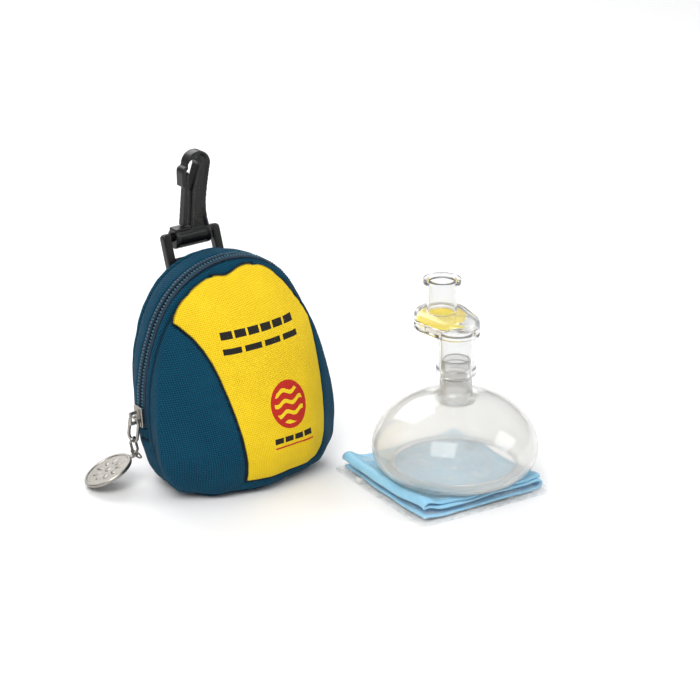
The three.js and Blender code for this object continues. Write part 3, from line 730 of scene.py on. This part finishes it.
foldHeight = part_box("foot_band")[1].z


def acrossFold(piece):
    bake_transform(piece)


sidesAndBands = ["left_panel", "right_panel", "front_side_band", "foot_band"]
acrossFold(clothPiece(
    "yellowPanel", ["centre_panel", "centre_panel_foot"], sidesAndBands,
    "yellow_cloth", frontFlat, foldHeight, hemmed=True, puff=0.0014, seamDepth=0.0003))
acrossFold(clothPiece(
    "blueFront", sidesAndBands,
    ["centre_panel", "centre_panel_foot", "zip_half_front", "back_side_band", "base_panel"],
    "blue_cloth", wrapFlat, foldHeight, sideLine=True, voxel=0.00075, puff=0.0008, seamDepth=0.0007))

for piece in (
    clothPiece(
        "backBand", ["back_side_band"], ["back_panel", "zip_half_back", "foot_band", "base_panel"],
        "blue_cloth", wrapFlat, puff=0.0005, seamDepth=0.0008),
    clothPiece(
        "backPanel", ["back_panel"], ["back_side_band", "base_panel"],
        "blue_cloth", frontFlat, wrinkle=0.0005),
    clothPiece(
        "basePanel", ["base_panel"], ["foot_band", "back_panel", "back_side_band"],
        "blue_cloth", wrapFlat, puff=0.0, seamDepth=0.0003),
):
    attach(piece, "pouch")
print("pouch cloth made")


# zip: two woven tapes and a row of nylon coil on each

tapeLook = {"voxel": 0.00055, "smoothing": 2}
coilLook = {
    "pitch": 0.00165,
    "across": 0.0021,
    "along": 0.00105,
    "tall": 0.0009,
    "proud": 0.00012,
    "fromEdge": 0.0011,
    "middle": 0.062,  # the height that the rays spread from
    "halfArch": 128,  # degrees either side of the top
    "rays": 1600,
    "rayLength": 0.2,
    "edgeOn": 0.3,  # a face whose normal leans further than this along y is a side of the tape
}


def zipTape(name, node, body):
    bm = remeshed(copiedNodes([node]), tapeLook["voxel"])
    relax(bm, tapeLook["smoothing"])
    layOut(bm, wrapFlat)
    piece = settle(bm, name, "zip_tape")
    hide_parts(node)
    acrossFold(piece) if body == "lid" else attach(piece, body)


def archPlaces(node, y, pitch):
    # places along the outside of a zip half, one pitch apart, with the outward direction at each
    tree = treeOf([node])
    middle = Vector((0, y, coilLook["middle"]))
    rays, halfArch = coilLook["rays"], coilLook["halfArch"]
    found = []
    for step in range(rays):
        angle = -math.radians(halfArch) + math.radians(2 * halfArch) * step / (rays - 1)
        ray = Vector((math.sin(angle), 0, math.cos(angle)))
        place, normal = tree.ray_cast(middle + ray * coilLook["rayLength"], -ray)[:2]
        if place is None or abs(normal.y) >= coilLook["edgeOn"]:
            continue
        if not found or (place - found[-1][0]).length >= pitch:
            found.append((place, normal))
    return found


def zipCoil(name, node, body, y):
    bm = bmesh.new()
    for place, normal in archPlaces(node, y, coilLook["pitch"]):
        along = normal.cross(Vector((0, 1, 0))).normalized()
        made = bmesh.ops.create_uvsphere(bm, u_segments=8, v_segments=5, radius=0.5)["verts"]
        turn = Matrix((along, Vector((0, 1, 0)), normal)).transposed().to_4x4()
        size = Matrix.Diagonal((coilLook["along"], coilLook["across"], coilLook["tall"], 1))
        out = Matrix.Translation(place + normal * coilLook["proud"])
        bmesh.ops.transform(bm, verts=made, matrix=out @ turn @ size)
    bmesh.ops.recalc_face_normals(bm, faces=bm.faces)
    piece = settle(bm, name, "zip_coil")
    acrossFold(piece) if body == "lid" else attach(piece, body)
    print(name, len(piece.data.polygons), "faces")


zipTape("zipTapeBack", "zip_half_back", "pouch")
zipTape("zipTapeFront", "zip_half_front", "lid")
backEdge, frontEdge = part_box("zip_half_back")[0].y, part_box("zip_half_front")[1].y
zipCoil("zipCoilBack", "zip_half_back", "pouch", backEdge + coilLook["fromEdge"])
zipCoil("zipCoilFront", "zip_half_front", "lid", frontEdge - coilLook["fromEdge"])


# moulded and metal pieces that keep the CAD shape, with softened edges

hookLook = {"rim": 0.0013, "ease": 0.0008, "sunk": 0.0009, "notEdge": 0.45, "flat": 0.8}


def sunkFaces(bm):
    # the hook's flat sides are sunk between a raised rim that follows its outline
    sides = bm.copy()
    flat = [face for face in sides.faces if abs(face.normal.y) > hookLook["notEdge"]]
    bmesh.ops.delete(sides, geom=flat, context="FACES")
    outline = BVHTree.FromBMesh(sides)
    sides.free()
    moves = []
    for v in bm.verts:
        share = 0.0
        if abs(v.normal.y) > hookLook["flat"]:
            gap = outline.find_nearest(v.co)[3]
            share = eased(shareAlong(gap, hookLook["rim"], hookLook["ease"]))
        moves.append(share * hookLook["sunk"] * (1 if v.normal.y < 0 else -1))
    for v, move in zip(bm.verts, moves):
        v.co.y += move


def softened(name, node, body, finish, voxel, times, detail=None):
    bm = remeshed(copiedNodes([node]), voxel)
    relax(bm, times)
    if detail:
        detail(bm)
        relax(bm, 1, lightEase)
    piece = settle(bm, name, finish)
    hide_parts(node)
    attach(piece, body)


polishLook = {"sharpAngle": 35, "tiny": 1e-7}


def polished(name, node, body, finish, slotName=None):
    bm = copiedNodes([node])
    bmesh.ops.dissolve_degenerate(bm, dist=polishLook["tiny"], edges=bm.edges)
    for edge in bm.edges:
        closed = len(edge.link_faces) == 2
        edge.smooth = closed and edge.calc_face_angle(0) <= math.radians(polishLook["sharpAngle"])
    piece = settle(bm, name, finish)
    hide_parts(node)
    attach(piece, body)


softenedPieces = {
    # name: node, body, finish, voxel, smoothing passes, detail
    "webbingStrap": ("webbing_tab", "pouch", "webbing", 0.0005, 2),
    "hookLoop": ("hook_loop", "loop", "nylon", 0.00045, 3),
    "snapHook": ("snap_hook", "hook", "nylon", 0.0004, 3, sunkFaces),
    "hookGate": ("hook_gate", "gate", "nylon", 0.0003, 2),
    "zipSlider": ("zip_slider", "slider", "nickel", 0.00025, 5),
    "pullRing": ("pull_ring", "pull_ring", "nickel", 0.0002, 2),
    "pullLink": ("pull_link", "pull_link", "nickel", 0.0002, 2),
    "jumpRing": ("jump_ring", "jump_ring", "nickel", 0.0002, 2),
}
polishedPieces = {
    # name: node, body, finish, slot where it isn't the finish
    "medalDisc": ("medal", "medal", "nickel"),
    "maskShell": ("mask_shell", "mask", "frosted_rubber"),
    "maskPort": ("mask_port", "port", "port_plastic", "clear_plastic"),
    "valveBase": ("valve_base", "valve", "clear_plastic"),
    "valveCover": ("valve_cover", "valve", "clear_plastic"),
    "valveFlap": ("valve_flap", "flap", "silicone"),
}
for name, values in softenedPieces.items():
    softened(name, *values)
for name, values in polishedPieces.items():
    polished(name, *values)


medalLook = {
    "petals": 9,
    "petalOut": 0.0066,
    "petalSize": (0.0026, 0.0013, 0.0005),
    "boss": 0.0022,
    "face": 0.0006,
}


def medalRelief():
    # a plain rosette struck on both faces
    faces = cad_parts["medal"].data.polygons
    up = max(faces, key=lambda face: face.area).normal.copy()
    flat = [face for face in faces if abs(face.normal.dot(up)) > 0.99]
    area = sum(face.area for face in flat)
    middle = sum((face.center * face.area for face in flat), Vector()) / area
    side = up.orthogonal().normalized()
    bm = bmesh.new()
    for sign in (1, -1):
        frameTurn = Matrix((side, up.cross(side), up)).transposed().to_4x4()
        base = Matrix.Translation(middle + up * sign * medalLook["face"]) @ frameTurn
        made = bmesh.ops.create_uvsphere(bm, u_segments=20, v_segments=10, radius=1)["verts"]
        size = (medalLook["boss"], medalLook["boss"], medalLook["petalSize"][2])
        bmesh.ops.transform(bm, verts=made, matrix=base @ Matrix.Diagonal((*size, 1)))
        petalSize = Matrix.Diagonal((*medalLook["petalSize"], 1))
        for petal in range(medalLook["petals"]):
            turn = Matrix.Rotation(math.tau * petal / medalLook["petals"], 4, "Z")
            out = Matrix.Translation((medalLook["petalOut"], 0, 0))
            made = bmesh.ops.create_uvsphere(bm, u_segments=12, v_segments=8, radius=1)["verts"]
            bmesh.ops.transform(bm, verts=made, matrix=base @ turn @ out @ petalSize)
    piece = settle(bm, "medalRosette", "nickel")
    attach(piece, "medal")


medalRelief()
print("hard pieces made")


# glove packet: one folded sheet of glove rubber between two films

packetLook = {
    "middle": (0.0806, -0.0875),
    "turn": -0.085,
    "width": 0.080,
    "depth": 0.086,
    "corner": 0.004,
    # where each plump edge lies, how wide it is and how high
    "left": (-0.034, 0.0055, 0.62),
    "front": (-0.036, 0.006, 0.34),
    "right": (0.034, 0.005, 0.3),
    "lump": 55,
    "lumpShare": 0.5,
}
gloveLook = {
    "halfWidth": 0.0355,
    "halfDepth": 0.038,
    "levels": (0.0016, 0.0038, 0.0060),  # of the three layers
    "wall": 0.0011,
    "steps": 46,  # faces across a layer, and rows along it
    "rows": 56,
    "turnSteps": 6,
    "bulge": 1.5,
    "bend": 0.00045,
    "slipAcross": 0.0012,  # how far the layers' edges wander
    "slipAlong": 0.0016,
}


def packetMove():
    return Matrix.Translation((*packetLook["middle"], 0)) @ Matrix.Rotation(packetLook["turn"], 4, "Z")


def edgeRise(x, y):
    # the stack is flat under the mask and plumper at its folded edges
    rise = 0.0
    for edge, along in (("left", x), ("front", y), ("right", x)):
        at, width, height = packetLook[edge]
        rise += height * math.exp(-(((along - at) / width) ** 2))
    lump = packetLook["lump"]
    lumps = 1 + packetLook["lumpShare"] * noise.noise(Vector((x * lump, y * lump, 2.0)))
    return 1 + rise * lumps


def makeGloves():
    half, levels, steps = gloveLook["halfWidth"], gloveLook["levels"], gloveLook["steps"]
    turnSteps, bulge = gloveLook["turnSteps"], gloveLook["bulge"]
    outline = []
    for index, level in enumerate(levels):
        side = 1 if index % 2 == 0 else -1
        for step in range(steps + 1):
            outline.append((side * half * (2 * step / steps - 1), level))
        if index + 1 < len(levels):
            middle, radius = (level + levels[index + 1]) / 2, (levels[index + 1] - level) / 2
            for turn in range(1, turnSteps):
                angle = -math.pi / 2 + math.pi * turn / turnSteps
                across = side * (half + bulge * radius * math.cos(angle))
                outline.append((across, middle + radius * math.sin(angle)))
    bm = bmesh.new()
    verts = [bm.verts.new((x, -gloveLook["halfDepth"], z)) for x, z in outline]
    edges = [bm.edges.new(pair) for pair in zip(verts, verts[1:])]
    rows = gloveLook["rows"]
    for row in range(rows):
        grown = bmesh.ops.extrude_edge_only(bm, edges=edges)["geom"]
        lines = [g for g in grown if isinstance(g, bmesh.types.BMEdge)]
        edges = [line for line in lines if abs(line.verts[0].co.y - line.verts[1].co.y) < 1e-9]
        newVerts = [g for g in grown if isinstance(g, bmesh.types.BMVert)]
        bmesh.ops.translate(bm, verts=newVerts, vec=(0, 2 * gloveLook["halfDepth"] / rows, 0))
    bmesh.ops.recalc_face_normals(bm, faces=bm.faces)
    for v in bm.verts:
        v.co.z += gloveLook["bend"] * noise.noise(Vector((v.co.x * 60, v.co.y * 45, 3.0)))
        v.co.z *= edgeRise(v.co.x, v.co.y)
        v.co.x += gloveLook["slipAcross"] * noise.noise(Vector((v.co.y * 40, v.co.z * 200, 1.5)))
        v.co.y += gloveLook["slipAlong"] * noise.noise(Vector((v.co.x * 45, v.co.z * 300, 6.5)))
    bmesh.ops.solidify(bm, geom=bm.faces[:], thickness=gloveLook["wall"])
    bmesh.ops.transform(bm, verts=bm.verts, matrix=packetMove())
    piece = settle(bm, "foldedGloves", "glove_rubber")
    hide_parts("glove_fold_1", "glove_fold_2", "glove_fold_3")
    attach(piece, "packet")
    return piece


filmLook = {
    "columns": 90,
    "rows": 96,
    "wall": 0.00012,
    "seal": 0.0045,
    "slope": 0.006,
    "top": 0.00775,
    "rim": 0.0006,
    "sag": 0.0004,  # how far the top film's creases sink
    "flutter": 0.0011,  # how far its sealed edge wanders
    "inset": 0.9,  # the gloves' plump edges lie at this share of the film's size
    "under": 0.00012,
    "underCrease": 0.0001,
    "lowest": 0.0001,
}


def filmHeight(x, y, edge, top):
    # the bottom film lies flat; the top one climbs from its sealed edge on to the gloves
    crease = noise.noise(Vector((x * 120, y * 90, 4.0)))
    crease += 0.5 * noise.noise(Vector((x * 260, y * 260, 9.0)))
    if not top:
        return filmLook["under"] + filmLook["underCrease"] * abs(crease)
    climb = eased(shareAlong(edge, filmLook["seal"], filmLook["slope"]))
    height = filmLook["rim"]
    height += (filmLook["top"] - filmLook["rim"]) * climb - filmLook["sag"] * climb * abs(crease)
    height += filmLook["flutter"] * (1 - climb) * (0.5 + crease)
    return height * edgeRise(x * filmLook["inset"], y * filmLook["inset"])


def makeFilm(name, node, top):
    bm = bmesh.new()
    bmesh.ops.create_grid(bm, x_segments=filmLook["columns"], y_segments=filmLook["rows"], size=0.5)
    width, depth, corner = packetLook["width"], packetLook["depth"], packetLook["corner"]
    for v in bm.verts:
        x, y = v.co.x * width, v.co.y * depth
        height = filmHeight(x, y, min(width / 2 - abs(x), depth / 2 - abs(y)), top)
        dx, dy = abs(x) - (width / 2 - corner), abs(y) - (depth / 2 - corner)
        if dx > 0 and dy > 0 and math.hypot(dx, dy) > corner:
            shrink = corner / math.hypot(dx, dy)
            x = math.copysign(width / 2 - corner + dx * shrink, x)
            y = math.copysign(depth / 2 - corner + dy * shrink, y)
        v.co = Vector((x, y, max(height, filmLook["lowest"])))
    bmesh.ops.transform(bm, verts=bm.verts, matrix=packetMove())
    bmesh.ops.recalc_face_normals(bm, faces=bm.faces)
    piece = settle(bm, name, "film")
    wall = piece.modifiers.new("filmWall", "SOLIDIFY")
    wall.thickness, wall.offset = filmLook["wall"], 1.0
    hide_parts(node)
    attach(piece, "packet")
    return piece


gloves = makeGloves()
wrapperTop = makeFilm("wrapperTop", "wrapper_front", True)
wrapperBottom = makeFilm("wrapperBottom", "wrapper_back", False)
print("glove packet made")
